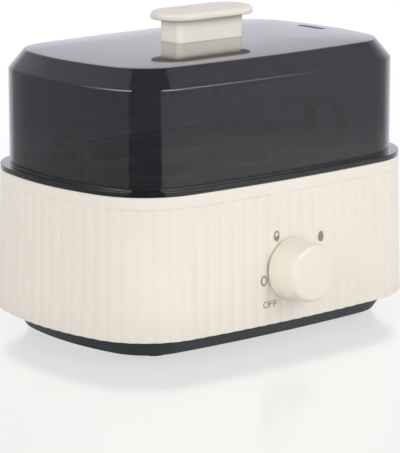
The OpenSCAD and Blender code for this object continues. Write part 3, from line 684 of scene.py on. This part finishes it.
# dark base under the housing
tub = {"bottom": 2.5, "top": 11.9, "flangeTop": 14.3, "inset": 5.6, "footInset": 12, "wall": 1.8,
       "floor": 4.9, "floorInset": 30, "flangeInset": 3.1, "innerEdge": 1.0, "flangeEdge": 0.3,
       "bottomEdge": 0.4, "count": 320, "slots": 5, "slotLength": 30, "slotWidth": 3,
       "slotPitch": 8, "slotReach": 8, "slotCount": 32, "screwInset": 17.6, "screwTurn": 14,
       "columnR": 4.6, "columnFoot": 1, "headR": 3.6, "screwR": 1.9, "screwPast": 2,
       "barCount": 48, "smooth": 30}


def roundBar(name, x, y, r, low, high):
    count = tub["barCount"]
    turns = [2 * math.pi * i / count for i in range(count)]
    rings = [[(x + r * math.cos(a), y + r * math.sin(a), z) for a in turns] for z in (low, high)]
    return loftPiece(name, count, rings)


def makeTub():
    t = tub
    topInner, footInner = t["inset"] + t["wall"], t["footInset"] + t["wall"]
    profile = roundProfile([
        (t["floorInset"], t["floor"], 0), (footInner, t["floor"], t["innerEdge"]),
        (topInner, t["top"], t["innerEdge"]), (topInner, t["flangeTop"], t["flangeEdge"]),
        (t["flangeInset"], t["flangeTop"], t["flangeEdge"]),
        (t["flangeInset"], t["top"], t["flangeEdge"]), (t["inset"], t["top"], 0),
        (t["footInset"], t["bottom"], t["bottomEdge"]), (t["floorInset"], t["bottom"], 0)])
    piece = loftPiece("baseTub", t["count"], planRings(profile, t["count"]))
    centre, r = arcs[1][0], plan["cornerR"] - t["screwInset"]
    turn = math.radians(t["screwTurn"])
    screwX, screwY = centre.x + r * math.cos(turn), centre.y + r * math.sin(turn)
    columnLow, screwHigh = t["bottom"] + t["columnFoot"], t["flangeTop"] + t["screwPast"]
    for x in (-screwX, screwX):
        for y in (-screwY, screwY):
            column = roundBar("column", x, y, t["columnR"], columnLow, t["flangeTop"])
            cutPiece(piece, column, "UNION")
            cutPiece(piece, roundBar("headCutter", x, y, t["headR"], 0, t["top"]))
            cutPiece(piece, roundBar("screwCutter", x, y, t["screwR"], 0, screwHigh))
    ring = stadiumRing(t["slotLength"], t["slotWidth"], t["slotCount"], 0)
    for k in range(t["slots"]):
        y = (k - (t["slots"] - 1) / 2) * t["slotPitch"]
        slotRings = [[(px, py + y, z) for px, py, _ in ring] for z in (0, t["slotReach"])]
        cutPiece(piece, loftPiece("slotCutter", t["slotCount"], slotRings))
    smoothPiece(piece, t["smooth"])
    dress(piece, darkMoulding, "base", "dark_base", "bottom_cover")


makeTub()
print("base made")

# finishes of the nodes that stay as packed
nodeFinishes = {
    "feet": footRubber, "cover_screws": platedSteel, "water_pan": panSteel,
    "pan_seal": paleSilicone, "pan_nuts": platedSteel, "heating_element": heaterSteel,
    "heater_terminals": platedSteel, "thermostat": blackMoulding,
    "thermostat_bracket": platedSteel, "bracket_nuts": platedSteel, "thermal_fuse": paleMoulding,
    "fuse_clip": platedSteel, "timer_plate": platedSteel, "timer_case": paleMoulding,
    "timer_screws": platedSteel, "timer_shaft": platedSteel, "knob_leaf": platedSteel,
    "cord_gland": darkMoulding, "terminal_block": paleMoulding, "handle_washers": paleSilicone,
    "handle_screws": platedSteel, "egg_tray": trayCream}
for nodeName, nodeFinish in nodeFinishes.items():
    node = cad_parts[nodeName]
    node.data.materials.clear()
    node.data.materials.append(nodeFinish)
print("nodes finished")

# floor: pale to the light, with its own white and polish where the camera sees it
floorStage = {"size": 6.0, "pale": 0.85, "seen": 0.18, "glow": 0.62, "rough": (0.3, 0.14)}


def makeFloor():
    f = floorStage
    clearSelection()
    bpy.ops.mesh.primitive_plane_add(size=f["size"])
    floor = bpy.context.object
    floor.name = "floor"
    material, shader = newMaterial("paleFloor", f["rough"][0])
    tree = material.node_tree
    seen = tree.nodes.new("ShaderNodeLightPath").outputs["Is Camera Ray"]
    tone = mixColours(tree, seen, [f["pale"]] * 3, [f["seen"]] * 3)
    tree.links.new(tone, shader.inputs["Base Color"])
    shader.inputs["Emission Color"].default_value = (1, 1, 1, 1)
    glow = combine(tree, "MULTIPLY", seen, f["glow"])
    tree.links.new(glow, shader.inputs["Emission Strength"])
    polish = mapRange(tree, seen, (0.0, 1.0), f["rough"])
    tree.links.new(polish, shader.inputs["Roughness"])
    floor.data.materials.append(material)
    floor.visible_glossy = False


# world: soft light from the sides, and the panels that glossy faces reflect
studioWorld = {"low": 1.21, "high": 0.32, "fadeSpan": (0.4, 0.9), "backPanel": 0.76,
               "backTone": (0.97, 0.96, 1.05), "backSpan": (-0.9, -0.5), "leftPanel": 0.20,
               "rightPanel": 0.38, "sideSpan": (-0.6, 0.6), "abovePanel": 0.34,
               "aboveSpan": (0.25, 0.6), "lowCard": (0.05, 0.18), "cardSpan": (-0.184, -0.176),
               "strip": 5.0, "stripFoot": (0.23, 0.31), "stripTop": (0.55, 0.66),
               "stripSpan": (-0.05, 0.5), "gapCentre": 39.8, "gapHalf": 0.43, "gapGrow": -0.044,
               "gapLean": 0.10, "gapShift": -0.011, "gapFlare": 0.03, "flareSpan": (-0.2, -0.14),
               "gapEdge": (-0.015, 0.015), "gapLevel": 0.0}


def makeWorld():
    w = studioWorld
    world = bpy.data.worlds.new("studio")
    bpy.context.scene.world = world
    world.use_nodes = True
    tree = world.node_tree
    background = tree.nodes["Background"]
    coords = tree.nodes.new("ShaderNodeTexCoord")
    turn = math.radians(w["gapCentre"])

    def along(way):
        dot = tree.nodes.new("ShaderNodeVectorMath")
        dot.operation = "DOT_PRODUCT"
        dot.inputs[1].default_value = way
        tree.links.new(coords.outputs["Generated"], dot.inputs[0])
        return dot.outputs["Value"]

    def scaled(value, times, plus):
        return combine(tree, "ADD", combine(tree, "MULTIPLY", value, times), plus)

    ahead = along((-math.sin(turn), -math.cos(turn), 0))
    across = along((math.cos(turn), -math.sin(turn), 0))
    up = along((0, 0, 1))
    low = mapRange(tree, up, w["cardSpan"], (1.0, 0.0))  # pale card in front, low down
    left = scaled(low, w["lowCard"][0], w["leftPanel"])
    right = scaled(low, w["lowCard"][1], w["rightPanel"])
    sides = between(tree, mapRange(tree, across, w["sideSpan"], (0.0, 1.0)), left, right)
    above = mapRange(tree, up, w["aboveSpan"], (0.0, 1.0))
    panels = between(tree, above, sides, w["abovePanel"])
    stripLow = mapRange(tree, up, w["stripFoot"], (0.0, 1.0))  # bright strip that edges catch
    stripHigh = mapRange(tree, up, w["stripTop"], (1.0, 0.0))
    stripWide = mapRange(tree, ahead, w["stripSpan"], (0.0, w["strip"]))
    strip = combine(tree, "MULTIPLY", combine(tree, "MULTIPLY", stripLow, stripHigh), stripWide)
    front = combine(tree, "ADD", panels, strip)
    flare = mapRange(tree, up, w["flareSpan"], (w["gapFlare"], 0.0))
    wide = combine(tree, "ADD", scaled(up, w["gapGrow"], w["gapHalf"]), flare)
    lean = combine(tree, "ADD", scaled(up, w["gapLean"], w["gapShift"]), flare)
    aside = combine(tree, "ABSOLUTE", combine(tree, "SUBTRACT", across, lean), 0.0)
    inGap = mapRange(tree, combine(tree, "SUBTRACT", wide, aside), w["gapEdge"], (0.0, 1.0))
    front = between(tree, inGap, front, w["gapLevel"])  # dark gap, wider to the right low down
    fore = mapRange(tree, ahead, w["backSpan"], (0.0, 1.0))
    glossy = between(tree, fore, w["backPanel"], front)
    path = tree.nodes.new("ShaderNodeLightPath")
    soft = mapRange(tree, up, w["fadeSpan"], (w["low"], w["high"]))
    level = between(tree, path.outputs["Is Glossy Ray"], soft, glossy)
    seen = combine(tree, "MAXIMUM", path.outputs["Is Camera Ray"],
                   path.outputs["Is Transmission Ray"])
    tree.links.new(combine(tree, "MAXIMUM", level, seen), background.inputs["Strength"])
    behind = mapRange(tree, ahead, w["backSpan"], (1.0, 0.0))
    tinted = combine(tree, "MULTIPLY", behind, path.outputs["Is Glossy Ray"])
    tone = mixColours(tree, tinted, (1, 1, 1), w["backTone"])
    tree.links.new(tone, background.inputs["Color"])


# lamps: two broad ones by energy, size and place, a beam for the stem and a spot for the knob
studioLamps = {"broad": {"key": (3.85, 0.7, (0.22, -1.04, 0.75)),
                         "side": (2.95, 1.2, (-1.35, -0.08, 0.40))},
               "target": (0, 0, 0.08),
               "beam": {"energy": 0.00042, "size": (0.050, 0.0100), "spread": 1.3,
                        "place": (-0.2361, -0.1844, 0.1625), "target": (0, 0, 0.1472)},
               "spot": {"energy": 6.4, "cone": 3.6, "blend": 0.7, "soft": 0.03,
                        "tone": (1, 0.87, 0.72), "place": (-0.9, -0.16, 0.085),
                        "target": (-0.014, -0.078, 0.040)}}


def aimLamp(lamp, place, target):
    holder = bpy.data.objects.new(lamp.name, lamp)
    bpy.context.scene.collection.objects.link(holder)
    holder.location = place
    holder.rotation_euler = (Vector(target) - holder.location).to_track_quat("-Z", "Y").to_euler()
    holder.visible_glossy = False
    return holder


def makeLights():
    for name, (energy, size, place) in studioLamps["broad"].items():
        lamp = bpy.data.lights.new(name, "AREA")
        lamp.energy = energy
        lamp.size = size
        aimLamp(lamp, place, studioLamps["target"])
    beam = studioLamps["beam"]  # narrow light on the stem of the grip, which the cap shades
    lamp = bpy.data.lights.new("stemBeam", "AREA")
    lamp.shape = "RECTANGLE"
    lamp.energy = beam["energy"]
    lamp.size, lamp.size_y = beam["size"]
    lamp.spread = math.radians(beam["spread"])
    aimLamp(lamp, beam["place"], beam["target"]).visible_camera = False
    spot = studioLamps["spot"]  # narrow light on the side of the knob
    lamp = bpy.data.lights.new("knobSpot", "SPOT")
    lamp.energy = spot["energy"]
    lamp.color = spot["tone"]
    lamp.spot_size = math.radians(spot["cone"])
    lamp.spot_blend = spot["blend"]
    lamp.shadow_soft_size = spot["soft"]
    aimLamp(lamp, spot["place"], spot["target"])


camera = {"place": (-0.88685, -1.02549, 0.34296), "yaw": 40.853, "pitch": 12.247, "lens": 217.5,
          "sensor": 36, "shift": (-0.0041, -0.0049), "clipEnd": 50}


def makeCamera():
    data = bpy.data.cameras.new("photoCamera")
    eye = bpy.data.objects.new("photoCamera", data)
    bpy.context.scene.collection.objects.link(eye)
    yaw, pitch = math.radians(camera["yaw"]), math.radians(camera["pitch"])
    level = math.cos(pitch)
    way = Vector((math.sin(yaw) * level, math.cos(yaw) * level, -math.sin(pitch)))
    eye.location = camera["place"]
    eye.rotation_euler = way.to_track_quat("-Z", "Y").to_euler()
    data.lens = camera["lens"]
    data.sensor_width = camera["sensor"]
    data.shift_x, data.shift_y = camera["shift"]
    data.clip_end = camera["clipEnd"]
    bpy.context.scene.camera = eye


makeFloor()
makeWorld()
makeLights()
makeCamera()
bpy.context.scene.view_settings.view_transform = "Standard"
print("studio ready")

bpy.context.view_layer.update()
